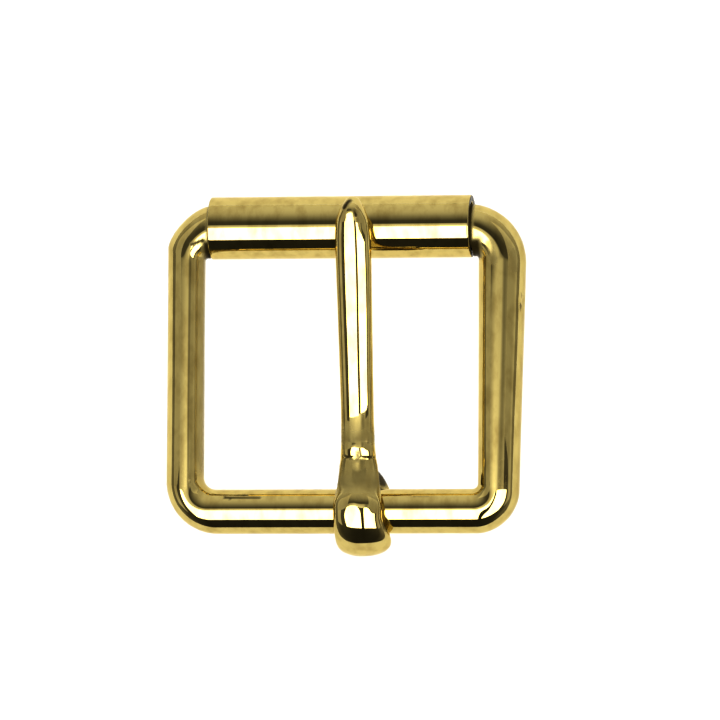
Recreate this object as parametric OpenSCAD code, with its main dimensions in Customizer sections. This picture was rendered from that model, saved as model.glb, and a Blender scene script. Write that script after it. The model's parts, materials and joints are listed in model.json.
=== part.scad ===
/* [Frame] */
// Clear width between the two sides
strap_w = 26; // [18:0.5:45]
// Distance between the axes of the strap bar and the roller bar
bar_pitch = 26.8; // [20:0.2:50]
// Thickness of the ring's metal, and diameter of both bars
wire_d = 4.2; // [3:0.1:6]
// Width of the left side, seen from the front
left_w = 3.6; // [2.5:0.1:6]
// Width of the right side where it leaves the strap bar
right_w = 4; // [2.5:0.1:6]
// What the right side gains in width on its way to the roller bar
right_flare = 0.55; // [0:0.05:1.5]

/* [Corners] */
// Outer size of the corner at the strap bar's left end
strap_left_r = 5; // [3.5:0.1:6]
// Outer size of the corner at the strap bar's right end
strap_right_r = 4.5; // [3:0.1:6]
// Outer size of the corner at the roller bar's left end
roller_left_r = 3.9; // [3.5:0.1:6]
// Outer size of the corner at the roller bar's right end
roller_right_r = 4.9; // [3.5:0.1:6]
// Inner fillet at the strap bar's left end
left_fillet = 1.2; // [0.4:0.1:2.5]
// Inner fillet at the strap bar's right end
right_fillet = 0.8; // [0.4:0.1:2.5]
// Inner fillets at the roller bar, smaller than the roller's end play
roller_fillet = 0.4; // [0.2:0.05:0.5]

/* [Roller] */
// Wall of the rolled tube
roller_wall = 0.65; // [0.4:0.05:1.2]
// Clearance between the tube and the bar, all round
roller_clear = 0.2; // [0.1:0.05:0.5]
// End play between the tube and each side
roller_play = 0.6; // [0.55:0.05:1.5]
// Gap between the tube's ends and the frame's shoulders
shoulder_gap = 0.1; // [0.05:0.01:0.2]
// Width of the open seam along the tube
seam_w = 0.25; // [0.15:0.05:0.6]
// Where the seam lies round the bar, from straight back toward the strap bar
seam_angle = 50; // [20:5:80]
// Broken edge at the tube's two ends
roller_edge = 0.12; // [0.05:0.01:0.2]

/* [Prong] */
// Place of the prong along the strap bar, from the middle of the strap's width
prong_x = 2.1; // [-5:0.1:5]
// How far the prong leans to the left over its length, in degrees
prong_lean = 1.1; // [-3:0.1:3]
// Thickness of the prong's metal
prong_t = 2; // [1.4:0.1:3]
// Width of the shank
shank_w = 3.2; // [2.4:0.1:5]
// Width of the loop round the strap bar
loop_w = 4.6; // [3:0.1:7]
// Clearance between the loop and the bar, all round
loop_clear = 0.15; // [0.1:0.05:0.4]
// Width of the loop's tail at its end, as a share of the loop's width
tail_share = 0.45; // [0.35:0.05:1]
// How far the tip reaches past the roller's axis
tip_reach = 2.5; // [1:0.1:4]
// Gap left between the prong and the top of the roller
rest_gap = 0.08; // [0.05:0.01:0.2]

/* [Hidden] */
$fn = 64;

wire_r = wire_d / 2;
bore_r = wire_r + loop_clear;
loop_r = bore_r + prong_t;
tube_bore_r = wire_r + roller_clear;
tube_r = tube_bore_r + roller_wall;
tube_len = strap_w - 2 * roller_play;
seat_z = tube_r + rest_gap;

// The shoulders reach from the sides nearly to the tube's ends and nearly as far in as its surface.
shoulder_x = strap_w / 2 - roller_play + shoulder_gap;
shoulder_r = tube_r - shoulder_gap;

// The buckle lies on its back, on the loop of the prong and on the roller.
rest_tilt = asin((loop_r - tube_r) / bar_pitch);
left_edge = strap_w / 2 + left_w;
right_edge = strap_w / 2 + right_w + right_flare;
mid_x = (right_edge - left_edge) / 2;
mid_y = (bar_pitch * cos(rest_tilt) + tube_r - loop_r) / 2;

// Points round one section, and steps round one corner.
section_sides = 28;
corner_steps = 8;

// How square a section or a corner is: 2 is an ellipse, less is nearer to a flat chamfer.
ROUND = 2;
CHAMFERED = 1.39;
FORGED = 2.15;

// A side slips into the end of a bar, a little thinner, before it swells to full thickness.
splice_in = 0.8;
splice_end = 0.3;
splice_share = 0.97;

function power(v, p) = sign(v) * pow(abs(v), p);
function oval(a, square) = [power(cos(a), 2 / square), power(sin(a), 2 / square)];
function mix(a, b, t) = a + (b - a) * t;
function bend(a, mid, b, t) = mix(mix(a, mid, t), mix(mid, b, t), t);

// A closed skin over rings of points, capped at both ends.
module skin(rings) {
    n = len(rings[0]);
    last = len(rings) - 1;
    sides = [for (k = [0:last - 1], i = [0:n - 1])
        [k * n + i, k * n + (i + 1) % n, (k + 1) * n + (i + 1) % n, (k + 1) * n + i]];
    first_cap = [for (i = [n - 1:-1:0]) i];
    last_cap = [for (i = [0:n - 1]) last * n + i];
    polyhedron([for (ring = rings) each ring], concat([first_cap], sides, [last_cap]), convexity = 6);
}

// One side of the frame is worked out as a right-hand side, out along +X. Each station is an
// inner point and an outer point in plan, and how much of the full thickness stands there.
function station(inner, outer, share = 1) = [inner, outer, share];

// How far a corner takes the place of a straight bar.
function corner_in(size, fillet, side_w) = max(fillet, size - side_w);

// The end of a bar, where the side's metal begins inside it. up is -1 at the strap bar, 1 at the other.
function bar_station(x, y, up) =
    station([x, y - up * wire_r * splice_share], [x, y + up * wire_r * splice_share], splice_share);

function bar_stations(bar_x, y, up) =
    [for (back = [splice_in, splice_end]) bar_station(bar_x - back, y, up)];

// A corner, from the bar (0 degrees) to the side (90 degrees).
function corner_station(turn, y, up, side_w, size, fillet, square) =
    let (
        inner_mid = [strap_w / 2 - fillet, y - up * (wire_r + fillet)],
        outer_mid = [strap_w / 2 + side_w - size, y + up * (wire_r - size)],
        inner_way = oval(90 - turn, ROUND),
        outer_way = oval(90 - turn, square)
    )
    station(
        inner_mid + fillet * [inner_way[0], up * inner_way[1]],
        outer_mid + size * [outer_way[0], up * outer_way[1]]
    );

function corner_stations(y, up, side_w, size, fillet, square) =
    [for (k = [0:corner_steps]) corner_station(90 * k / corner_steps, y, up, side_w, size, fillet, square)];

function reversed(list) = [for (k = [len(list) - 1:-1:0]) list[k]];

// A side's width between its corners grows evenly from one corner to the other.
side_steps = 4;

function side_stations(low_w, high_w, low_y, high_y) = [for (k = [1:side_steps])
    let (t = k / (side_steps + 1), y = mix(low_y, high_y, t))
    station([strap_w / 2, y], [strap_w / 2 + mix(low_w, high_w, t), y])];

function side_path(low_w, high_w, low_size, high_size, low_fillet, low_square, high_square) =
    let (
        low_bar = strap_w / 2 - corner_in(low_size, low_fillet, low_w),
        high_bar = strap_w / 2 - corner_in(high_size, roller_fillet, high_w),
        low_end = max(low_size - wire_r, wire_r + low_fillet),
        high_end = bar_pitch - max(high_size - wire_r, wire_r + roller_fillet)
    )
    concat(
        bar_stations(low_bar, 0, -1),
        corner_stations(0, -1, low_w, low_size, low_fillet, low_square),
        side_stations(low_w, high_w, low_end, high_end),
        reversed(corner_stations(bar_pitch, 1, high_w, high_size, roller_fillet, high_square)),
        reversed(bar_stations(high_bar, bar_pitch, 1))
    );

function side_ring(s) = [for (i = [0:section_sides - 1])
    let (way = oval(360 * i / section_sides, ROUND), spot = mix(s[0], s[1], (1 + way[0]) / 2))
    [spot[0], spot[1], wire_r * s[2] * way[1]]];

module side(path) {
    skin([for (s = path) side_ring(s)]);
}

// A bar runs between the two corners that it stands in.
module bar(y, left_in, right_in) {
    left_x = -strap_w / 2 + left_in + splice_end;
    right_x = strap_w / 2 - right_in - splice_end;
    translate([left_x, y, 0])
        rotate([0, 90, 0])
            cylinder(r = wire_r, h = right_x - left_x);
}

// A shoulder fills the corner between a side and the tube's end, on the strap bar's side of the
// roller bar only. It goes this far into the side, and is this share as thick there.
shoulder_depth = 1;
buried_share = 0.7;

function shoulder_ring(x, share) = [for (i = [0:section_sides - 1])
    let (way = oval(360 * i / section_sides, ROUND), reach = way[0] > 0 ? shoulder_r : wire_r * share)
    [x, bar_pitch - reach * way[0], wire_r * share * way[1]]];

module shoulder() {
    skin([
        shoulder_ring(shoulder_x, splice_share),
        shoulder_ring(strap_w / 2 + shoulder_depth, buried_share)
    ]);
}

left_path = side_path(left_w, left_w, strap_left_r, roller_left_r, left_fillet, ROUND, CHAMFERED);
right_path = side_path(right_w, right_w + right_flare, strap_right_r, roller_right_r,
    right_fillet, ROUND, ROUND);

module frame() {
    color("goldenrod")
        lie_down() {
            bar(0, corner_in(strap_left_r, left_fillet, left_w),
                corner_in(strap_right_r, right_fillet, right_w));
            bar(bar_pitch, corner_in(roller_left_r, roller_fillet, left_w),
                corner_in(roller_right_r, roller_fillet, right_w + right_flare));
            mirror([1, 0, 0]) {
                side(left_path);
                shoulder();
            }
            side(right_path);
            shoulder();
        }
}

// The tube's wall, with its edges broken at both ends.
module roller_wall_shape() {
    polygon([
        [tube_bore_r, 0],
        [tube_r - roller_edge, 0],
        [tube_r, roller_edge],
        [tube_r, tube_len - roller_edge],
        [tube_r - roller_edge, tube_len],
        [tube_bore_r, tube_len]
    ]);
}

module roller() {
    color("goldenrod")
        lie_down()
            translate([-tube_len / 2, bar_pitch, 0])
                rotate([0, 90, 0])
                    difference() {
                        rotate_extrude()
                            roller_wall_shape();
                        rotate([0, 0, -seam_angle])
                            translate([0, -seam_w / 2, -tube_len])
                                cube([2 * tube_r, seam_w, 3 * tube_len]);
                    }
}

// The prong is a strip. Each station is a point under it, a point on top of it, both in the
// plane across the bars, and half its width there.
function strip_station(under, top, half_w) = [under, top, half_w];

// The loop's inside starts a little too small, and the bore is then cut to its true size.
bore_stock = 0.25;

// Angles round the bar, from the way to the roller: the loop leaves the bar's front at
// loop_start and comes round the back to loop_end.
loop_start = 60;
loop_end = 370;
loop_steps = 24;

// The rounded end of the strip: degrees back from its end, and share of the full section there.
END_BACK = 0;
END_SHARE = 1;
END_ROWS = [
    [0, 0.55],
    [2.5, 0.84],
    [6, 0.97]
];

// The loop narrows towards the shank from this angle on, and this share of the narrowing is
// done where the strip leaves the loop.
narrow_from = 85;
narrowed_share = 0.3;

// From this angle on the strip narrows again, to its tail's end.
tail_from = 290;

// The share of the loop's width that is left at an angle: it falls fast at first, then slowly.
function tail_width(angle) =
    let (to_go = min(1, (loop_end - angle) / (loop_end - tail_from)))
    mix(1, tail_share, 1 - pow(to_go, 2));

function loop_point(radius, angle) = radius * [cos(angle), sin(angle)];

function loop_station(angle, share = 1) =
    let (
        mid = (loop_r + bore_r - bore_stock) / 2,
        half_t = (loop_r - bore_r + bore_stock) / 2 * share,
        narrowing = max(0, (narrow_from - angle) / (narrow_from - loop_start)),
        width = mix(loop_w, shank_w, narrowed_share * narrowing) * tail_width(angle)
    )
    strip_station(loop_point(mid - half_t, angle), loop_point(mid + half_t, angle), width / 2 * share);

// The full section begins this many degrees back from the end.
end_turn = 10;

end_stations = [for (row = END_ROWS) loop_station(loop_end - row[END_BACK], row[END_SHARE])];
round_stations = [for (k = [0:loop_steps])
    loop_station(mix(loop_end - end_turn, loop_start, k / loop_steps))];

// The shank: ALONG is the share of the way from the loop's edge to the roller's axis, LIFT the
// share of the rise from the neck to the roller, THICK the share of the metal's thickness and
// WIDE the share of the shank's width.
ALONG = 0;
LIFT = 1;
THICK = 2;
WIDE = 3;
SHANK_ROWS = [
    [0, 0, 1, 1.09],
    [0.03, 0.03, 1.06, 1.06],
    [0.06, 0.07, 1.17, 1.03],
    [0.09, 0.11, 1.18, 1],
    [0.14, 0.16, 1.11, 0.99],
    [0.19, 0.2, 1.06, 0.98],
    [0.3, 0.3, 1.04, 0.98],
    [0.45, 0.45, 1.03, 1],
    [0.6, 0.6, 1.02, 1.02],
    [0.75, 0.75, 1.01, 1.05],
    [0.88, 0.88, 1, 1.07],
    [0.95, 0.96, 1, 1.06],
    [1, 1, 0.98, 1.01]
];

// The tip: ALONG is the share of the reach past the roller's axis, and LIFT is taken up by how
// far the underside has risen over the roller, as a share of the metal's thickness.
TIP_ROWS = [
    [0.2, 0, 0.98, 0.93],
    [0.45, 0.01, 0.94, 0.78],
    [0.68, 0.05, 0.84, 0.62],
    [0.85, 0.11, 0.7, 0.47],
    [0.96, 0.2, 0.48, 0.29],
    [1, 0.3, 0.22, 0.12]
];

// Height of the neck's underside over the bar's axis, as a share of the bore.
neck_share = 0.54;
neck_z = neck_share * bore_r;

function shank_point(y, z, row) =
    strip_station([y, z], [y, z + prong_t * row[THICK]], shank_w * row[WIDE] / 2);

shank_stations = [for (row = SHANK_ROWS)
    shank_point(mix(loop_r, bar_pitch, row[ALONG]), mix(neck_z, seat_z, row[LIFT]), row)];
tip_stations = [for (row = TIP_ROWS)
    shank_point(bar_pitch + tip_reach * row[ALONG], seat_z + prong_t * row[LIFT], row)];

// The neck bends from the loop's slope to the level of the shank's first station.
neck_steps = 4;

// Where a line that leaves the loop at its own slope comes down to a height.
function meets(point, z) = [point[0] + (point[1] - z) * tan(loop_start), z];

function neck_point(from, to, t) = bend(from, meets(from, to[1]), to, t);

neck_stations = [for (k = [1:neck_steps - 1])
    let (t = k / neck_steps, from = loop_station(loop_start), to = shank_stations[0])
    strip_station(neck_point(from[0], to[0], t), neck_point(from[1], to[1], t), mix(from[2], to[2], t))];

// The lean starts behind the loop, so that the loop stays square to the bar.
function lean_at(y) = -tan(prong_lean) * max(0, y - wire_r);

function strip_ring(s) = [for (i = [0:section_sides - 1])
    let (way = oval(360 * i / section_sides, FORGED), spot = mix(s[0], s[1], (1 + way[1]) / 2))
    [s[2] * way[0] + lean_at(spot[0]), spot[0], spot[1]]];

module prong() {
    strip = concat(end_stations, round_stations, neck_stations, shank_stations, tip_stations);
    color("goldenrod")
        lie_down()
            translate([prong_x, 0, 0])
                difference() {
                    skin([for (s = strip) strip_ring(s)]);
                    translate([-loop_w, 0, 0])
                        rotate([0, 90, 0])
                            cylinder(r = bore_r, h = 2 * loop_w);
                }
}

// Sets a piece down as the whole buckle lies: centred, with its back on the ground.
module lie_down() {
    translate([-mid_x, -mid_y, loop_r])
        rotate([-rest_tilt, 0, 0])
            children();
}

frame();
roller();
prong();
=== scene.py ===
"""A brass roller buckle lying on its back on a pale floor, under two soft boxes."""

import json
import math

import bpy
from mathutils import Matrix, Vector, noise


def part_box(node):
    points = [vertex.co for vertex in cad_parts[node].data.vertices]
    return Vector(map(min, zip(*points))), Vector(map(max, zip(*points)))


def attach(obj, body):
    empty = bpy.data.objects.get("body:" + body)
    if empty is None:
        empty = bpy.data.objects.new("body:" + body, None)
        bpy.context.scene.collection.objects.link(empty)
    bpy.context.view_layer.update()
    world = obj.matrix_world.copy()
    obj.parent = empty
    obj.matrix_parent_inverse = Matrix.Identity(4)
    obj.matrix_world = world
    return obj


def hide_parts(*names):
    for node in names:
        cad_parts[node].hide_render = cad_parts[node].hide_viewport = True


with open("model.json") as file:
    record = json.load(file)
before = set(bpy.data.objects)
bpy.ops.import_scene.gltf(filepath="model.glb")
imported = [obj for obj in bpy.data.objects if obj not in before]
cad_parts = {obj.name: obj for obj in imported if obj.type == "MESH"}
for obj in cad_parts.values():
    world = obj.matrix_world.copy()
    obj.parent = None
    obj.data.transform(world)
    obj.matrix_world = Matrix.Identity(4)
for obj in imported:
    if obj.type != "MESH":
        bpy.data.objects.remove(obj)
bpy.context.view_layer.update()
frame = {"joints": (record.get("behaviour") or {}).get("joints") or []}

MM = 0.001

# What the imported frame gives: the two axes, the way the buckle lies, and the tube's length.
joint_at = {j["name"]: Vector(j["pos_m"]) / MM for j in frame["joints"]}
BAR_AT = joint_at["prong_swing"]
ROLLER_AT = joint_at["roller_spin"]
BAR_PITCH = math.hypot(ROLLER_AT.y - BAR_AT.y, ROLLER_AT.z - BAR_AT.z)
REST_TILT = math.atan2(BAR_AT.z - ROLLER_AT.z, ROLLER_AT.y - BAR_AT.y)
LOOP_R = BAR_AT.z
TUBE_R = ROLLER_AT.z
TUBE_LEN = (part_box("roller")[1].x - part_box("roller")[0].x) / MM
PRONG_X = BAR_AT.x - ROLLER_AT.x

# The other sizes, in millimetres, as the solids have them.
END_PLAY = 0.6
STRAP_W = TUBE_LEN + 2 * END_PLAY
WIRE_R = 2.1
LEFT_W = 3.6
RIGHT_W = 4.0
RIGHT_FLARE = 0.55
LOOP_CLEAR = 0.15
BORE_R = WIRE_R + LOOP_CLEAR
ROLLER_CLEAR = 0.2
TUBE_BORE_R = WIRE_R + ROLLER_CLEAR
PRONG_T = 2.0
SHANK_W = 3.2
LOOP_W = 4.6
TIP_REACH = 2.5
REST_GAP = 0.08
SEAT_Z = TUBE_R + REST_GAP
PRONG_LEAN = math.radians(1.1)

# How square a section or a corner is: 2 is an ellipse, less is nearer to a flat chamfer.
ROUND = 2.0
CHAMFERED = 1.47


def lie_down(x, y, z):
    """From the buckle's own level frame (mm, strap bar's axis at y = z = 0) to metres as it lies."""
    flat_y = y * math.cos(REST_TILT) + z * math.sin(REST_TILT)
    flat_z = z * math.cos(REST_TILT) - y * math.sin(REST_TILT)
    return Vector((ROLLER_AT.x + x, BAR_AT.y + flat_y, BAR_AT.z + flat_z)) * MM


def lean_dir(v):
    """A direction in the buckle's level frame, as it lies."""
    return (lie_down(*v) - lie_down(0, 0, 0)) / MM


def ease(value, start, stop):
    """Rises smoothly from 0 at start to 1 at stop."""
    t = min(1, max(0, (value - start) / (stop - start)))
    return t * t * (3 - 2 * t)


def hill(value, start, top, stop):
    """Rises smoothly from 0 at start to 1 at top, and back to 0 at stop."""
    return ease(value, start, top) * (1 - ease(value, top, stop))


def mix(a, b, t):
    return a + (b - a) * t


def power(v, p):
    return math.copysign(abs(v) ** p, v)


def oval(angle, square):
    return power(math.cos(angle), 2 / square), power(math.sin(angle), 2 / square)


def smooth_row(rows, along):
    """A row of a table at a share of the way, on a smooth curve through the rows."""
    k = max(i for i, row in enumerate(rows[:-1]) if row[0] <= along)
    a, b = rows[k], rows[k + 1]
    before, after = rows[max(k - 1, 0)], rows[min(k + 2, len(rows) - 1)]
    t = (along - a[0]) / (b[0] - a[0])
    made = [along]
    for i in range(1, len(a)):
        slope_a = (b[i] - before[i]) / (b[0] - before[0]) * (b[0] - a[0])
        slope_b = (after[i] - a[i]) / (after[0] - a[0]) * (b[0] - a[0])
        made.append(
            (2 * t**3 - 3 * t**2 + 1) * a[i] + (t**3 - 2 * t**2 + t) * slope_a
            + (3 * t**2 - 2 * t**3) * b[i] + (t**3 - t**2) * slope_b
        )
    return made


# Meshes

def new_piece(name, body, material, rings, closed, shade_and_grime_at):
    """A smooth skin over rings of points in the level frame, which rides on its body and replaces it.

    Closed joins the last ring to the first. Otherwise both end rings are capped.
    """
    n, count = len(rings[0]), len(rings)
    faces = [
        (k * n + i, k * n + (i + 1) % n, (k + 1) % count * n + (i + 1) % n, (k + 1) % count * n + i)
        for k in range(count if closed else count - 1)
        for i in range(n)
    ]
    if not closed:
        faces.append(tuple(reversed(range(n))))
        faces.append(tuple((count - 1) * n + i for i in range(n)))
    mesh = bpy.data.meshes.new(name)
    points = [p for ring in rings for p in ring]
    mesh.from_pydata([lie_down(*p) for p in points], [], faces)
    # A point attribute of how black the metal is: tarnish in marks, and painted shade
    grime_and_shade = mesh.attributes.new("grime_and_shade", "FLOAT", "POINT")
    grime_and_shade.data.foreach_set("value", [shade_and_grime_at(*p) for p in points])
    mesh.polygons.foreach_set("use_smooth", [True] * len(mesh.polygons))
    mesh.materials.append(material)
    mesh.update()
    piece = bpy.data.objects.new(name, mesh)
    bpy.context.scene.collection.objects.link(piece)
    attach(piece, body)
    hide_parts(body)


def worn_away(p, stroke, depth):
    """How much metal hand finishing took off at a point; stroke is how long its marks are each way."""
    return depth * (1 + noise.noise(Vector([a / b for a, b in zip(p, stroke)])))


# How many radii from its centre a dent still moves the metal
DENT_REACH = 3


def dented(p, dents):
    """A point moved by the dents near it."""
    moved = Vector(p)
    for centre, push, radius in dents:
        away = (Vector(p) - Vector(centre)).length / radius
        if away < DENT_REACH:
            moved += Vector(push) * math.exp(-away * away)
    return moved


# The frame: a closed ring of stations, each an inner, a middle and an outer point in plan.

CORNER_STEPS = 44
BAR_STEPS = 130
SIDE_STEPS = 90
RING_SIDES = 84
SIDE_SQUARE = 2.05
# How tightly the ridge on top of the ring turns the corners at the strap bar and at the roller bar
LOW_RIDGE_R = 2.0
HIGH_RIDGE_R = 3.3
# Each side at the strap bar (low) and at the roller bar (high): its width, the size of its outer
# corner and how square that is, its inner fillet, and where its ridge lies across it from the inside
RIGHT_SIDE = {
    "low_w": RIGHT_W, "low_size": 4.0, "low_square": 1.85, "low_fillet": 0.5,
    "high_w": RIGHT_W + RIGHT_FLARE, "high_size": 5.6, "high_square": ROUND, "ridge_share": 0.465,
}
LEFT_SIDE = {
    "low_w": LEFT_W, "low_size": 5.0, "low_square": ROUND, "low_fillet": 1.2,
    "high_w": LEFT_W, "high_size": 3.9, "high_square": CHAMFERED, "ridge_share": 0.42,
}
# The length of the finishing marks in x, y and z, and how deep they are
BAR_STROKE = (9, 3.1, 3.1)
BAR_WORN = 0.006
SIDE_STROKE = (1.2, 18, 1.2)
SIDE_WORN = 0.04
# The shoulders beside the roller: where they start, how far in they reach, their fillets, and the
# length over which they rise from the bar
SHOULDER_GAP = 0.1
SHOULDER_X = TUBE_LEN / 2 + SHOULDER_GAP
SHOULDER_R = TUBE_R - SHOULDER_GAP
SHOULDER_FILLET = 0.25
SHOULDER_RISE = 0.1
SHOULDER_STEPS = 10
# Dents: a centre, a push, and a radius
FRAME_DENTS = (
    # A knock on the right side's outer edge, and one inside the lower left corner
    ((17.4, 19.6, 0.6), (-0.16, 0, 0), 0.4),
    ((-13.5, 1.9, 1.7), (0.03, 0.03, -0.07), 0.3),
)
# Scratches and pits filled with tarnish, and painted shade: their two ends, their half width and how
# black they are
FRAME_MARKS_AND_SHADE = (
    ((-10.7, 1.23, 1.7), (-7.4, 1.2, 1.72), 0.13, 1.0),
    ((-10.75, 1.4, 1.56), (-10.2, 1.1, 1.78), 0.12, 0.8),
    ((-14.02, 2.75, 2.05), (-14.02, 2.95, 2.05), 0.12, 1.0),
    ((17.0, 18.9, 1.0), (17.1, 19.3, 0.95), 0.14, 0.9),
    ((17.15, 20.1, 0.9), (17.15, 20.3, 0.9), 0.12, 0.5),
    ((7.2, 1.35, 1.6), (8.6, 1.35, 1.6), 0.06, 0.5),
    # Painted shade in the bend beside the roller's left end, and darker patches on the upper right
    # corner
    ((-14.0, 25.1, 2.05), (-12.9, 25.5, 1.98), 0.15, 1.0),
    ((14.3, 24.9, 1.95), (14.6, 23.4, 2.05), 0.4, 0.5),
    ((16.5, 24.2, 1.7), (16.6, 22.6, 1.66), 0.4, 0.5),
)


def corner(y, up, reach, side_w, size, fillet, ridge_share, ridge_r, square):
    """Stations from a bar at y round to the right-hand side.

    The corner is at the top of the ring (up is 1) or at its bottom (-1), and reach is how far in from
    the bar's axis its metal comes.
    """
    inner_mid = Vector((STRAP_W / 2 - fillet, y - up * (reach + fillet)))
    ridge_mid = Vector((STRAP_W / 2 + side_w * ridge_share - ridge_r, y - up * ridge_r))
    outer_mid = Vector((STRAP_W / 2 + side_w - size, y + up * (WIRE_R - size)))
    made = []
    for k in range(CORNER_STEPS + 1):
        turn = math.pi / 2 * (1 - k / CORNER_STEPS)
        way, outer_way = oval(turn, ROUND), oval(turn, square)
        made.append((
            inner_mid + fillet * Vector((way[0], up * way[1])),
            ridge_mid + ridge_r * Vector((way[0], up * way[1])),
            outer_mid + size * Vector((outer_way[0], up * outer_way[1])),
        ))
    return made


def bar_station(x, y, up, reach):
    """A station across a bar: its inner point, its axis and its outer point."""
    return Vector((x, y - up * reach)), Vector((x, y)), Vector((x, y + up * WIRE_R))


def between(a, b, steps):
    """Stations strictly between two stations."""
    return [tuple(p.lerp(q, k / steps) for p, q in zip(a, b)) for k in range(1, steps)]


def side(low_w, high_w, low_size, high_size, low_fillet, ridge_share, low_square, high_square):
    """One side as a right-hand side, from the middle of the strap bar to that of the roller bar."""
    low = corner(
        0, -1, WIRE_R, low_w, low_size, low_fillet, ridge_share, LOW_RIDGE_R, low_square
    )
    high = corner(
        BAR_PITCH, 1, SHOULDER_R, high_w, high_size, SHOULDER_FILLET, ridge_share, HIGH_RIDGE_R,
        high_square,
    )
    high.reverse()
    for k in range(SHOULDER_STEPS + 1):
        t = k / SHOULDER_STEPS
        reach = mix(SHOULDER_R, WIRE_R, ease(t, 0, 1))
        high.append(bar_station(SHOULDER_X + SHOULDER_RISE * (0.5 - t), BAR_PITCH, 1, reach))
    low_mid = bar_station(0, 0, -1, WIRE_R)
    high_mid = bar_station(0, BAR_PITCH, 1, WIRE_R)
    return [
        low_mid, *between(low_mid, low[0], BAR_STEPS), *low,
        *between(low[-1], high[0], SIDE_STEPS),
        *high, *between(high[-1], high_mid, BAR_STEPS), high_mid,
    ]


def frame_ring(station):
    """The section at a station, round on the bars and a little squarer on the sides, and its wear."""
    inner, middle, outer = station
    sideways = (outer - inner).normalized().x ** 2
    square = mix(ROUND, SIDE_SQUARE, sideways)
    ring = []
    for i in range(RING_SIDES):
        c, s = oval(2 * math.pi * i / RING_SIDES, square)
        spot = middle.lerp(outer if c > 0 else inner, abs(c))
        p = Vector((spot.x, spot.y, WIRE_R * s))
        out = (p - Vector((middle.x, middle.y, 0))).normalized()
        on_bar, on_side = worn_away(p, BAR_STROKE, BAR_WORN), worn_away(p, SIDE_STROKE, SIDE_WORN)
        p -= out * mix(on_bar, on_side, sideways)
        ring.append(dented(p, FRAME_DENTS))
    return ring


# Tarnish and painted shade on the frame. A pair of numbers is where it starts to change, and where it
# has changed.
MARK_SOFTNESS = 0.5
# Painted shade: the left side's inner flank is darker, up to a place near its shoulder.
FLANK_SHADE = 0.5
FLANK_X = (-13.9, -13.5)
FLANK_Y = (1.5, 5)
FLANK_END_Y = BAR_PITCH - 2.8
# Painted shade: the outer flanks of both sides are a little darker low down, near the floor.
RIM_SHADE = 0.16
RIM_X = (15.5, 16.5)
RIM_Z = (0.4, 1.1)
# Painted shade, black, sits beside the roller's ends, in the gap between the tube and the frame: on the
# bar, and on the strap bar's side of it.
END_START = (SHOULDER_X - 0.3, SHOULDER_X - 0.15)
END_BACK = (3.0, 3.3)
LEFT_BAR_X = (12.4, 12.8)
RIGHT_BAR_X = (12.5, 12.9)
LEFT_SHOULDER_X = (12.7, 13.4)
RIGHT_SHOULDER_X = (13.1, 13.8)
SHOULDER_BACK = (1.0, 1.6)


def mark_at(p, marks):
    """The blackest of the marks over a point."""
    worst = 0
    for a, b, half, black in marks:
        a, b = Vector(a), Vector(b)
        share = min(1, max(0, (p - a).dot(b - a) / (b - a).length_squared))
        away = (p - a.lerp(b, share)).length
        fade = ease(away, half * (1 - MARK_SOFTNESS), half * (1 + MARK_SOFTNESS))
        worst = max(worst, black * (1 - fade))
    return worst


# Painted shade on the left side's inner flank
def flank_shade(x, y):
    if x > 0 or y >= FLANK_END_Y:
        return 0
    return FLANK_SHADE * ease(x, *FLANK_X) * ease(y, *FLANK_Y)


# Painted shade low on the outer flanks
def rim_shade(x, z):
    return RIM_SHADE * ease(abs(x), *RIM_X) * (1 - ease(z, *RIM_Z))


# Painted shade in the gap beside the roller's ends
def end_shade(x, y):
    out, back = abs(x), BAR_PITCH - y
    near_bar = 1 - ease(back, *END_BACK)
    on_bar = 1 - ease(out, *(RIGHT_BAR_X if x > 0 else LEFT_BAR_X))
    on_shoulder = 1 - ease(out, *(RIGHT_SHOULDER_X if x > 0 else LEFT_SHOULDER_X))
    on_shoulder *= near_bar * ease(back, *SHOULDER_BACK)
    return near_bar * ease(out, *END_START) * max(on_bar, on_shoulder)


def frame_tarnish_and_shade(x, y, z):
    """How black the frame's metal is painted at a point, from 0 to 1: tarnish in scratches and pits,
    and painted shade.
    """
    spread_out = max(end_shade(x, y), flank_shade(x, y), rim_shade(x, z))
    return max(spread_out, mark_at(Vector((x, y, z)), FRAME_MARKS_AND_SHADE))


def make_frame(material):
    right, left = side(**RIGHT_SIDE), side(**LEFT_SIDE)
    mirrored = [tuple(Vector((-p.x, p.y)) for p in station) for station in left[::-1]]
    rings = [frame_ring(station) for station in right + mirrored[1:-1]]
    new_piece("frame_metal", "frame", material, rings, True, frame_tarnish_and_shade)


# The roller: the outline of the rolled sheet's wall, swept round the bar from lip to lip.

WALL_STEPS = 120
TURN_STEPS = 180
SEAM_W = 0.25
# The seam's place round the bar, from straight back towards the strap bar
SEAM_ANGLE = math.radians(50)
EDGE_R = 0.12
EDGE_STEPS = 4


def half_outline(radius, other, way):
    """Along one face of the wall and round its end, to where the other face starts."""
    edge_x = TUBE_LEN / 2 - EDGE_R
    turn = math.copysign(EDGE_R, radius - other)
    quarter = [math.pi / 2 * k / EDGE_STEPS for k in range(EDGE_STEPS + 1)]
    made = [(mix(-edge_x, edge_x, k / WALL_STEPS), radius) for k in range(WALL_STEPS + 1)]
    made += [(edge_x + EDGE_R * math.sin(a), radius - turn * (1 - math.cos(a))) for a in quarter[1:]]
    made.append((TUBE_LEN / 2, (radius + other) / 2))
    made += [(edge_x + EDGE_R * math.cos(a), other + turn * (1 - math.sin(a))) for a in quarter[:-1]]
    return [(way * x, r) for x, r in made]


def wall_outline():
    """The closed outline of the wall in (x, radius), with rolled edges."""
    return half_outline(TUBE_R, TUBE_BORE_R, 1) + half_outline(TUBE_BORE_R, TUBE_R, -1)


# Painted shade: the tube's end faces, in the gap at the frame, are black from here outward, measured
# from its end.
END_FACE = (0.05, 0.02)


# Painted shade on the tube's end faces
def roller_end_shade(x, y, z):
    return ease(abs(x), *(TUBE_LEN / 2 - depth for depth in END_FACE))


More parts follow.
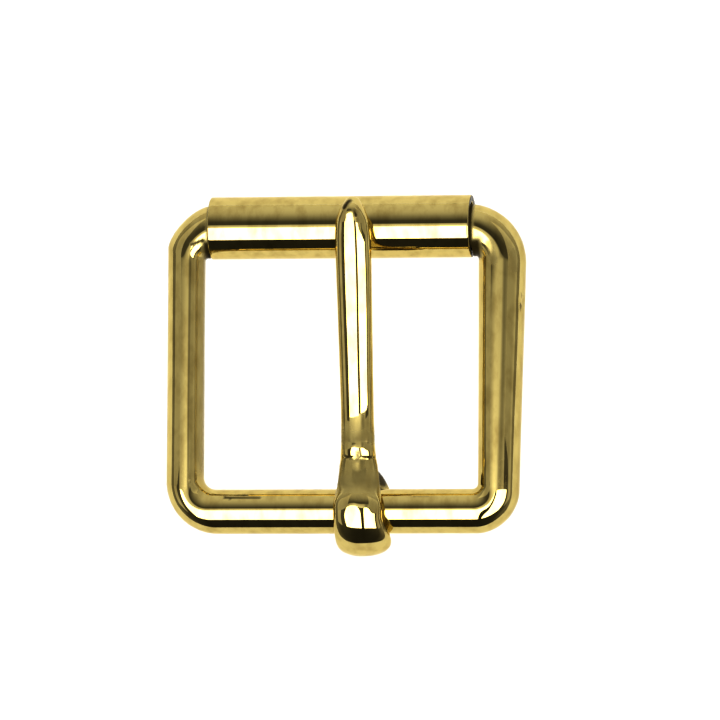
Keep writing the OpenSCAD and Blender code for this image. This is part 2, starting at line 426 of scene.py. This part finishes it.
def make_roller(material):
    outline = wall_outline()
    gap = SEAM_W / TUBE_R
    rings = []
    for k in range(TURN_STEPS + 1):
        a = SEAM_ANGLE + gap / 2 + (2 * math.pi - gap) * k / TURN_STEPS
        ring = []
        for x, r in outline:
            spot = Vector((x, BAR_PITCH - math.sin(a), -math.cos(a)))
            worn = r - (worn_away(spot, BAR_STROKE, BAR_WORN) if r > TUBE_BORE_R + EDGE_R else 0)
            ring.append((x, BAR_PITCH - worn * math.sin(a), -worn * math.cos(a)))
        rings.append(ring)
    new_piece("roller_tube", "roller", material, rings, False, roller_end_shade)


# The prong: a strip of stations, each a point under it, a point on top of it, half its width, how
# square its section is, and the share by which it is wider on the right.

# The strip starts this far inside the bore, and is pressed out to it.
BORE_STOCK = 0.25
# Angles go round the strap bar's axis: 0 is towards the roller, and a quarter turn is up. The loop
# runs from the neck, at LOOP_START, to the tail's end, at LOOP_END.
LOOP_START = math.radians(60)
LOOP_END = math.radians(370)
END_TURN = math.radians(10)
NARROW_FROM = math.radians(85)
NARROWED_SHARE = 0.2
TAIL_FROM = math.radians(310)
TAIL_SHARE = 0.4
TAIL_SQUARE = 3.5
TAIL_TAPER = 1.2
# The tail's section turns from square to round between these shares of it that are still to go.
TAIL_TURNS = (0.3, 1)
# The loop's top narrows to a ridge towards the neck.
CREST_SQUARE = 1.55
CREST_FROM = math.radians(105)
CREST_RISE = 0.1
CREST_AT = math.radians(78)
CREST_TO = math.radians(96)
# The loop's outer end is a little wider on the right.
FLARE = 0.29
FLARE_FROM = math.radians(100)
FLARE_AT = math.radians(150)
FLARE_TO = math.radians(215)
# Where along the prong the ridge of its neck gives way to the round top of its shank
HUMP_TURNS = (4.8, 4.94)
# How high the underside of the neck passes over the bore's axis, as a share of the bore's radius
NECK_SHARE = 0.54
LOOP_STEPS = 120
NECK_STEPS = 14
SHANK_STEPS = 220
TIP_STEPS = 30
STRIP_SIDES = 64
PRONG_STROKE = (0.9, 14, 0.9)
PRONG_WORN = 0.009
# The tail's rounded end: share of END_TURN from its very end, share of the full section
END_ROWS = ((0, 0.2), (0.04, 0.4), (0.1, 0.6), (0.25, 0.82), (0.45, 0.93), (0.7, 0.985))
# Share of the way to the roller's axis, share of the thickness, share of the width
SHANK_ROWS = (
    (0, 1.0425, 1.13),
    (0.026, 1.014, 1.06),
    (0.0275, 1.0145, 1.06),
    (0.042, 1.071, 1.05),
    (0.052, 1.0985, 1.04),
    (0.062, 1.111, 1.03),
    (0.072, 1.11, 1.02),
    (0.08, 1.101, 1.01),
    (0.09, 1.08, 1),
    (0.113, 1.043, 1),
    (0.145, 1.008, 0.99),
    (0.188, 0.971, 0.98),
    (0.233, 0.947, 0.98),
    (0.28, 0.934, 0.98),
    (0.45, 0.9326, 1),
    (0.6985, 0.9325, 1.04),
    (0.78, 0.9507, 1.055),
    (0.88, 0.99, 1.07),
    (0.95, 1.012, 1.06),
    (1, 1.028, 1.01),
)
# Share of the reach past the axis, rise as a share of the thickness, then as above
TIP_ROWS = (
    (0, 0, 1.028, 1.01),
    (0.2, 0, 1.055, 0.93),
    (0.4, 0, 1.082, 0.8),
    (0.48, 0, 1.075, 0.75),
    (0.6, 0.02, 1, 0.67),
    (0.72, 0.05, 0.87, 0.57),
    (0.86, 0.1, 0.64, 0.44),
    (0.96, 0.2, 0.38, 0.28),
    (1, 0.34, 0.1, 0.06),
)
# Painted shade: the top is darker behind the loop's crest and beyond the hump: how much, and where in y
# it starts, is darkest and ends.
TOP_SHADE = ((0.62, (0.5, 2.6, 4.75)), (0.5, (5.95, 6.5, 8.4)))
TOP_SHADE_OVER_Z = 2.2
# Painted shade: the inside of the loop, round the strap bar, is black up to this far from the bore.
INSIDE_DEPTH = (0.1, 0.4)
# Painted shadow: the tail under the neck is black, less so at its outer edge. A pair is where it starts
# to change, and where it has changed.
TAIL_BLACK = 0.97
TAIL_EDGE_BLACK = 0.5
TAIL_EDGE_X = (4.0, 4.2)
TAIL_Y = (2.0, 2.6)
TAIL_END = (LOOP_R, LOOP_R + 0.2)
TAIL_Z = (0.9, 1.2)
# Painted shade on the loop's right flank, beside the strap bar
BESIDE_BLACK = 0.75
BESIDE_X = (4.3, 4.55)
BESIDE_Y = (-2.4, -1.6)
BESIDE_END = (1.5, 2.2)
# Dark spots near the tip, and painted shade in the crease at the hump's foot
PRONG_SPOTS_AND_SHADE = (
    ((1.0, 28.2, 4.95), (1.4, 28.7, 4.55), 0.3, 1.0),
    ((1.85, 27.9, 5.0), (2.1, 27.4, 5.05), 0.2, 1.0),
    ((1.45, 4.76, 3.15), (3.1, 4.76, 3.15), 0.12, 0.6),
    ((2.05, 4.6, 3.25), (2.2, 5.3, 3.45), 0.2, 0.65),
)
# Hammer marks on the loop's crest and on the hump
PRONG_DENTS = (
    ((2.46, 1.0, 4.2), (0, 0, -0.07), 0.6),
    ((2.6, 0.3, 4.3), (0, 0, -0.03), 0.5),
    ((0.8, 0.6, 3.8), (0, 0, -0.08), 0.5),
    ((3.82, 0.25, 3.8), (0, 0, -0.08), 0.55),
    ((1.17, 6.05, 3.3), (0, 0, -0.07), 0.45),
    ((2.23, 6.0, 3.5), (0, 0, -0.03), 0.3),
    ((3.12, 5.9, 3.3), (0, 0, -0.08), 0.45),
)


def loop_station(angle, share=1.0):
    """A station of the loop; share is how full its section is where the tail's end is rounded off."""
    mid = (LOOP_R + BORE_R - BORE_STOCK) / 2
    half_t = (LOOP_R - BORE_R + BORE_STOCK) / 2 * share
    narrowing = max(0, (NARROW_FROM - angle) / (NARROW_FROM - LOOP_START))
    to_go = min(1, (LOOP_END - angle) / (LOOP_END - TAIL_FROM))
    width = mix(LOOP_W, SHANK_W, NARROWED_SHARE * narrowing)
    width *= mix(1, TAIL_SHARE, (1 - to_go)**TAIL_TAPER)
    way = Vector((math.cos(angle), math.sin(angle)))
    square = mix(TAIL_SQUARE, ROUND, ease(to_go, *TAIL_TURNS))
    square = mix(CREST_SQUARE, square, ease(angle, LOOP_START, CREST_FROM))
    rise = CREST_RISE * hill(angle, LOOP_START, CREST_AT, CREST_TO)
    flare = FLARE * hill(angle, FLARE_FROM, FLARE_AT, FLARE_TO)
    return (mid - half_t) * way, (mid + half_t + rise) * way, width / 2 * share, square, flare


def shank_station(y, z, thick, wide, square=ROUND):
    return Vector((y, z)), Vector((y, z + PRONG_T * thick)), SHANK_W * wide / 2, square, 0


def neck_stations():
    """The strip bends from the loop's slope to the level of the shank's first station."""
    low = loop_station(LOOP_START)
    high = shank_station(LOOP_R, NECK_SHARE * BORE_R, *SHANK_ROWS[0][1:], CREST_SQUARE)
    made = []
    for k in range(1, NECK_STEPS):
        t = k / NECK_STEPS
        ends = []
        for a, b in zip(low[:2], high[:2]):
            meet = Vector((a.x + (a.y - b.y) * math.tan(LOOP_START), b.y))
            ends.append(a.lerp(meet, t).lerp(meet.lerp(b, t), t))
        made.append((*ends, *(mix(a, b, t) for a, b in zip(low[2:], high[2:]))))
    return made


def strip_stations():
    """All stations from the tail's rounded end, round the loop and along the shank to the tip."""
    neck_z = NECK_SHARE * BORE_R
    rounded = [loop_station(LOOP_END - END_TURN * back, share) for back, share in END_ROWS]
    loop_angles = (mix(LOOP_END - END_TURN, LOOP_START, k / LOOP_STEPS) for k in range(LOOP_STEPS + 1))
    loop = [loop_station(angle) for angle in loop_angles]
    shank = []
    for k in range(SHANK_STEPS):
        along, thick, wide = smooth_row(SHANK_ROWS, k / SHANK_STEPS)
        y, z = mix(LOOP_R, BAR_PITCH, along), mix(neck_z, SEAT_Z, along)
        square = mix(CREST_SQUARE, ROUND, ease(y, *HUMP_TURNS))
        shank.append(shank_station(y, z, thick, wide, square))
    tip = []
    for k in range(TIP_STEPS + 1):
        along, lift, thick, wide = smooth_row(TIP_ROWS, math.sin(math.pi / 2 * k / TIP_STEPS))
        tip.append(shank_station(BAR_PITCH + TIP_REACH * along, SEAT_Z + PRONG_T * lift, thick, wide))
    return [*rounded, *loop, *neck_stations(), *shank, *tip]


def strip_ring(station):
    """The section at a station, worn and dented, with its place across the buckle and its lean."""
    under, top, half_w, square, flare = station
    ring = []
    for i in range(STRIP_SIDES):
        c, s = oval(2 * math.pi * i / STRIP_SIDES, square)
        spot = under.lerp(top, (1 + s) / 2)
        p = Vector((half_w * c * (1 + flare if c > 0 else 1), spot.x, spot.y))
        mid = (under + top) / 2
        out = (p - Vector((0, mid.x, mid.y))).normalized()
        p -= out * worn_away(p, PRONG_STROKE, PRONG_WORN)
        from_axis = math.hypot(p.y, p.z)
        if from_axis < BORE_R:
            p.y, p.z = p.y * BORE_R / from_axis, p.z * BORE_R / from_axis
        p.x += PRONG_X - math.tan(PRONG_LEAN) * max(0, spot.x - WIRE_R)
        ring.append(dented(p, PRONG_DENTS))
    return ring


def prong_shade_and_spots(x, y, z):
    """How black the prong's metal is painted at a point, from 0 to 1: painted shade, and dark spots
    near the tip.
    """
    inside = 1 - ease(math.hypot(y, z) - BORE_R, *INSIDE_DEPTH) if y < LOOP_R else 0
    tail = ease(y, *TAIL_Y) * (1 - ease(y, *TAIL_END)) * (1 - ease(z, *TAIL_Z))
    tail *= mix(TAIL_BLACK, TAIL_EDGE_BLACK, ease(x, *TAIL_EDGE_X))
    shaded_top = max(share * hill(y, *span) for share, span in TOP_SHADE) if z > TOP_SHADE_OVER_Z else 0
    beside = BESIDE_BLACK * ease(x, *BESIDE_X) * ease(y, *BESIDE_Y) * (1 - ease(y, *BESIDE_END))
    return max(inside, tail, shaded_top, beside, mark_at(Vector((x, y, z)), PRONG_SPOTS_AND_SHADE))


def make_prong(material):
    rings = [strip_ring(s) for s in strip_stations()]
    new_piece("prong_tongue", "prong", material, rings, False, prong_shade_and_spots)


# Materials

BRASS_TINT = (0.62, 0.50, 0.185)
ROLLER_TINT = (0.63, 0.51, 0.19)
GLINT_TINT = (1, 0.93, 0.74)
# Darker patches mottle the brass: their colour as a share of the tint, the noise between which they
# come in, and how much of them shows at most.
PATCH_SHARES = (0.72, 0.68, 0.6)
PATCH_NOISE = (0.42, 0.72)
PATCH_MOST = 0.9
# The polish is uneven: the noise between which it wears, and its roughness from fresh to worn.
POLISH_NOISE = (0.35, 0.75)
POLISH_ROUGHNESS = (0.0132, 0.0374)
# Where grime and painted shade reach 1, the metal is black: tarnish in the marks, painted shade
# elsewhere. A pair goes from clean metal to black.
BLACK = (0.03, 0.022, 0.006)
BLACK_ROUGHNESS = 0.28
METALLIC = (1, 0.12)
SPECULAR_LEVEL = (0.5, 0.05)
# Clouds of noise: their size in mm, their detail, and the scale of each axis
PATCH_CLOUD = (1.0, 6.0, (1, 0.45, 1))
POLISH_CLOUD = (1.4, 5.0, (1, 1, 1))
SCRATCH_CLOUD = (0.16, 4.0, (1, 0.2, 1))
RIPPLE_CLOUD = (1.1, 1.0, (1, 0.2, 1))
# Bumps: their strength, and their depth in mm
SCRATCH_BUMP = (0.09, 0.004)
RIPPLE_BUMP = (0.35, 0.008)
FLOOR_ALBEDO = 0.8
FLOOR_ROUGHNESS = 0.9
FLOOR_SPECULAR = 0.1


def brass(name, tint):
    """Polished brass with fine wear, which goes black where the piece's grime and painted shade say so.
    """
    material = bpy.data.materials.new(name)
    material.use_nodes = True
    nodes, links = material.node_tree.nodes, material.node_tree.links
    shader = nodes["Principled BSDF"]
    shader.inputs["Specular Tint"].default_value = (*GLINT_TINT, 1)
    place = nodes.new("ShaderNodeTexCoord").outputs["Object"]

    def cloud(size_mm, detail, scale):
        mapping = nodes.new("ShaderNodeMapping")
        mapping.inputs["Scale"].default_value = scale
        links.new(place, mapping.inputs["Vector"])
        made = nodes.new("ShaderNodeTexNoise")
        made.inputs["Scale"].default_value = 1 / (size_mm * MM)
        made.inputs["Detail"].default_value = detail
        links.new(mapping.outputs["Vector"], made.inputs["Vector"])
        return made.outputs["Fac"]

    def spread(value, start, stop):
        made = nodes.new("ShaderNodeMapRange")
        links.new(value, made.inputs["Value"])
        for socket, number in zip(("From Min", "From Max", "To Min", "To Max"), (*start, *stop)):
            made.inputs[socket].default_value = number
        return made.outputs["Result"]

    def bump(strength, depth_mm, height):
        made = nodes.new("ShaderNodeBump")
        made.inputs["Strength"].default_value = strength
        made.inputs["Distance"].default_value = depth_mm * MM
        links.new(height, made.inputs["Height"])
        return made

    grime_and_shade = nodes.new("ShaderNodeAttribute")
    grime_and_shade.attribute_name = "grime_and_shade"
    links.new(spread(grime_and_shade.outputs["Fac"], (0, 1), METALLIC), shader.inputs["Metallic"])
    links.new(spread(grime_and_shade.outputs["Fac"], (0, 1), SPECULAR_LEVEL), shader.inputs["Specular IOR Level"])

    colour = nodes.new("ShaderNodeMix")
    colour.data_type = "RGBA"
    colour.inputs["A"].default_value = (*tint, 1)
    colour.inputs["B"].default_value = (*(a * b for a, b in zip(tint, PATCH_SHARES)), 1)
    links.new(spread(cloud(*PATCH_CLOUD), PATCH_NOISE, (0, PATCH_MOST)), colour.inputs["Factor"])
    black = nodes.new("ShaderNodeMix")
    black.data_type = "RGBA"
    links.new(grime_and_shade.outputs["Fac"], black.inputs["Factor"])
    links.new(colour.outputs["Result"], black.inputs["A"])
    black.inputs["B"].default_value = (*BLACK, 1)
    links.new(black.outputs["Result"], shader.inputs["Base Color"])

    rough = nodes.new("ShaderNodeMix")
    links.new(grime_and_shade.outputs["Fac"], rough.inputs["Factor"])
    links.new(spread(cloud(*POLISH_CLOUD), POLISH_NOISE, POLISH_ROUGHNESS), rough.inputs["A"])
    rough.inputs["B"].default_value = BLACK_ROUGHNESS
    links.new(rough.outputs["Result"], shader.inputs["Roughness"])

    scratches = bump(*SCRATCH_BUMP, cloud(*SCRATCH_CLOUD))
    ripples = bump(*RIPPLE_BUMP, cloud(*RIPPLE_CLOUD))
    links.new(scratches.outputs["Normal"], ripples.inputs["Normal"])
    links.new(ripples.outputs["Normal"], shader.inputs["Normal"])
    return material


def floor_material():
    material = bpy.data.materials.new("pale_floor")
    material.use_nodes = True
    shader = material.node_tree.nodes["Principled BSDF"]
    shader.inputs["Base Color"].default_value = (FLOOR_ALBEDO, FLOOR_ALBEDO, FLOOR_ALBEDO, 1)
    shader.inputs["Roughness"].default_value = FLOOR_ROUGHNESS
    shader.inputs["Specular IOR Level"].default_value = FLOOR_SPECULAR
    return material


# Camera, at the photograph's angle to the face of the buckle

CAM_YAW = math.radians(8.5)
CAM_PITCH = math.radians(4.5)
CAM_ROLL = math.radians(0.35)
CAM_AWAY_MM = 600
SENSOR_MM = 36
FRAME_PX = 720
MM_PER_PX = 0.094
# The point that it aims at, in mm in the buckle's level frame
AIM = (1.8, 14.25, 0.0)
# The nearest and the furthest that it sees, in metres
CLIP = (0.01, 10)
VIEW_GAMMA = 0.77


def make_camera():
    sin_y, cos_y = math.sin(CAM_YAW), math.cos(CAM_YAW)
    sin_p, cos_p = math.sin(CAM_PITCH), math.cos(CAM_PITCH)
    back = lean_dir((sin_y, -sin_p * cos_y, cos_p * cos_y))
    right = lean_dir((cos_y, sin_y * sin_p, -sin_y * cos_p))
    up = lean_dir((0, cos_p, sin_p))
    rolled_right = right * math.cos(CAM_ROLL) - up * math.sin(CAM_ROLL)
    rolled_up = up * math.cos(CAM_ROLL) + right * math.sin(CAM_ROLL)
    data = bpy.data.cameras.new("camera")
    data.sensor_width = SENSOR_MM
    data.lens = SENSOR_MM * CAM_AWAY_MM / (MM_PER_PX * FRAME_PX)
    data.clip_start, data.clip_end = CLIP
    camera = bpy.data.objects.new("camera", data)
    bpy.context.scene.collection.objects.link(camera)
    turn = Matrix((rolled_right, rolled_up, back)).transposed().to_4x4()
    camera.matrix_world = Matrix.Translation(lie_down(*AIM) + back * CAM_AWAY_MM * MM) @ turn
    bpy.context.scene.camera = camera


# Light: a level set of lamps over the buckle that only the metal mirrors

LAMP_HEIGHT = 190.0
# Name, from and to across, from and to along, both in mm from the buckle's middle, and radiance
LAMPS = (
    ("soft_box_left", (-139, 13), (-182, 8.4), 5.5),
    ("soft_box_right", (39, 220), (-182, 7), 5.5),
)
# Cards hang a little higher, beside the soft boxes.
CARD_LIFT = 2.0
CARDS = (
    ("card_left_back", (-520, -150), (14, 300), 0.49),
    ("card_left_front", (-520, -250), (-200, 14), 0.6),
    ("card_right", (135, 700), (15, 300), 0.42),
    ("card_right_front", (300, 700), (-200, 15), 0.48),
)
# Beyond the boxes' far edge their light spills onward and fades: places in mm, and brightness.
GLOW_ACROSS = (
    (-150, 0.5), (-100, 0.62), (-60, 0.78), (-30, 0.97), (0, 1),
    (25, 0.93), (42, 0.6), (58, 0.3), (80, 0.22), (110, 0.34), (135, 0.42),
)
GLOW_ALONG = (
    (7, 1.6), (11, 1.48), (16, 1.27), (22, 1.13), (25, 1.04),
    (30, 0.91), (33, 0.83), (37, 0.78), (43, 0.12),
)


def make_lamp(name, across, along, radiance, height=LAMP_HEIGHT):
    data = bpy.data.lights.new(name, "AREA")
    data.shape = "RECTANGLE"
    data.size, data.size_y = (across[1] - across[0]) * MM, (along[1] - along[0]) * MM
    data.energy = math.pi * radiance * data.size * data.size_y
    lamp = bpy.data.objects.new(name, data)
    lamp.location = (sum(across) / 2 * MM, sum(along) / 2 * MM, height * MM)
    lamp.visible_camera = False
    lamp.visible_diffuse = False
    bpy.context.scene.collection.objects.link(lamp)
    return data


def add_ramp(tree, factor, table):
    """A ramp of greys, from the table's first place at a factor of 0 to its last at 1."""
    ramp = tree.nodes.new("ShaderNodeValToRGB")
    tree.links.new(factor, ramp.inputs["Fac"])
    first, last = table[0][0], table[-1][0]
    stops = ramp.color_ramp.elements
    for k, (at, value) in enumerate(table):
        stop = stops[k] if k < len(stops) else stops.new(1)
        stop.position = (at - first) / (last - first)
        stop.color = (value, value, value, 1)
    return ramp.outputs["Color"]


def make_glow():
    across, along = ([table[0][0], table[-1][0]] for table in (GLOW_ACROSS, GLOW_ALONG))
    data = make_lamp("glow", across, along, 1.0)
    data.use_nodes = True
    nodes, links = data.node_tree.nodes, data.node_tree.links
    place = nodes.new("ShaderNodeSeparateXYZ")
    links.new(nodes.new("ShaderNodeNewGeometry").outputs["Parametric"], place.inputs["Vector"])
    both = nodes.new("ShaderNodeMath")
    both.operation = "MULTIPLY"
    links.new(add_ramp(data.node_tree, place.outputs["X"], GLOW_ACROSS), both.inputs[0])
    links.new(add_ramp(data.node_tree, place.outputs["Y"], GLOW_ALONG), both.inputs[1])
    links.new(both.outputs["Value"], nodes["Emission"].inputs["Strength"])


# The floor has its own light from all round, most of it without shadows, that the metal does not
# mirror. For each: the radiance that it gives the floor, its angle, and whether it casts shadows.
FLOOR_LIGHTS = (
    ("floor_light_even", 0.93, math.radians(10), False),
    ("floor_light_soft", 0.12, math.radians(110), True),
)


def make_floor_light(name, radiance, angle, shadow):
    data = bpy.data.lights.new(name, "SUN")
    data.angle = angle
    data.energy = math.pi * radiance / FLOOR_ALBEDO
    data.use_shadow = shadow
    light = bpy.data.objects.new(name, data)
    light.visible_glossy = False
    bpy.context.scene.collection.objects.link(light)


# Brightness of the room by the angle from straight up, in degrees, over a whole turn along the
# buckle and across it. In between, the two are blended.
ROOM_ALONG = (
    (-180, 0.3), (-91, 0.3), (-88, 0.04), (-50, 0.04), (3, 0.05), (10, 0.08), (20, 0.11),
    (28, 0.27), (35, 0.42), (43, 0.62), (52, 0.8), (64, 0.94), (86, 1.03), (180, 1.03),
)
ROOM_ACROSS = (
    (-180, 0.3), (-76, 0.3), (-71, 0.2), (-60, 0.14), (60, 0.14), (74, 0.36), (180, 0.36),
)
# Added to a length squared, so that nothing is divided by 0 straight up
TINY = 0.0001


def make_room():
    world = bpy.data.worlds.new("room")
    world.use_nodes = True
    bpy.context.scene.world = world
    nodes, links = world.node_tree.nodes, world.node_tree.links
    way = nodes.new("ShaderNodeSeparateXYZ")
    links.new(nodes.new("ShaderNodeTexCoord").outputs["Generated"], way.inputs["Vector"])

    def maths(operation, a, b=None):
        made = nodes.new("ShaderNodeMath")
        made.operation = operation
        for socket, value in zip(made.inputs, (a, b)):
            if isinstance(value, (int, float)):
                socket.default_value = value
            elif value is not None:
                links.new(value, socket)
        return made.outputs["Value"]

    def brightness(axis, table):
        angle = maths("DEGREES", maths("ARCTAN2", way.outputs[axis], way.outputs["Z"]))
        return add_ramp(world.node_tree, maths("DIVIDE", maths("ADD", angle, 180), 360), table)

    across_sq = maths("POWER", maths("ABSOLUTE", way.outputs["X"]), 2)
    along_sq = maths("POWER", maths("ABSOLUTE", way.outputs["Y"]), 2)
    share = maths("DIVIDE", across_sq, maths("ADD", maths("ADD", across_sq, along_sq), TINY))
    blend = nodes.new("ShaderNodeMix")
    blend.data_type = "RGBA"
    links.new(share, blend.inputs["Factor"])
    links.new(brightness("Y", ROOM_ALONG), blend.inputs["A"])
    links.new(brightness("X", ROOM_ACROSS), blend.inputs["B"])
    links.new(blend.outputs["Result"], nodes["Background"].inputs["Color"])


# Half the floor's width, in metres
FLOOR_HALF = 3.0


def make_floor():
    mesh = bpy.data.meshes.new("floor")
    corners = [(FLOOR_HALF * x, FLOOR_HALF * y, 0) for x, y in ((-1, -1), (1, -1), (1, 1), (-1, 1))]
    mesh.from_pydata(corners, [], [(0, 1, 2, 3)])
    mesh.materials.append(floor_material())
    floor = bpy.data.objects.new("floor", mesh)
    bpy.context.scene.collection.objects.link(floor)


make_camera()
make_floor()
make_room()
for lamp in LAMPS:
    make_lamp(*lamp)
for card in CARDS:
    make_lamp(*card, LAMP_HEIGHT + CARD_LIFT)
make_glow()
for floor_light in FLOOR_LIGHTS:
    make_floor_light(*floor_light)

make_frame(brass("frame_brass", BRASS_TINT))
make_roller(brass("roller_brass", ROLLER_TINT))
make_prong(brass("prong_brass", BRASS_TINT))

bpy.context.scene.view_settings.view_transform = "Standard"
bpy.context.scene.view_settings.gamma = VIEW_GAMMA
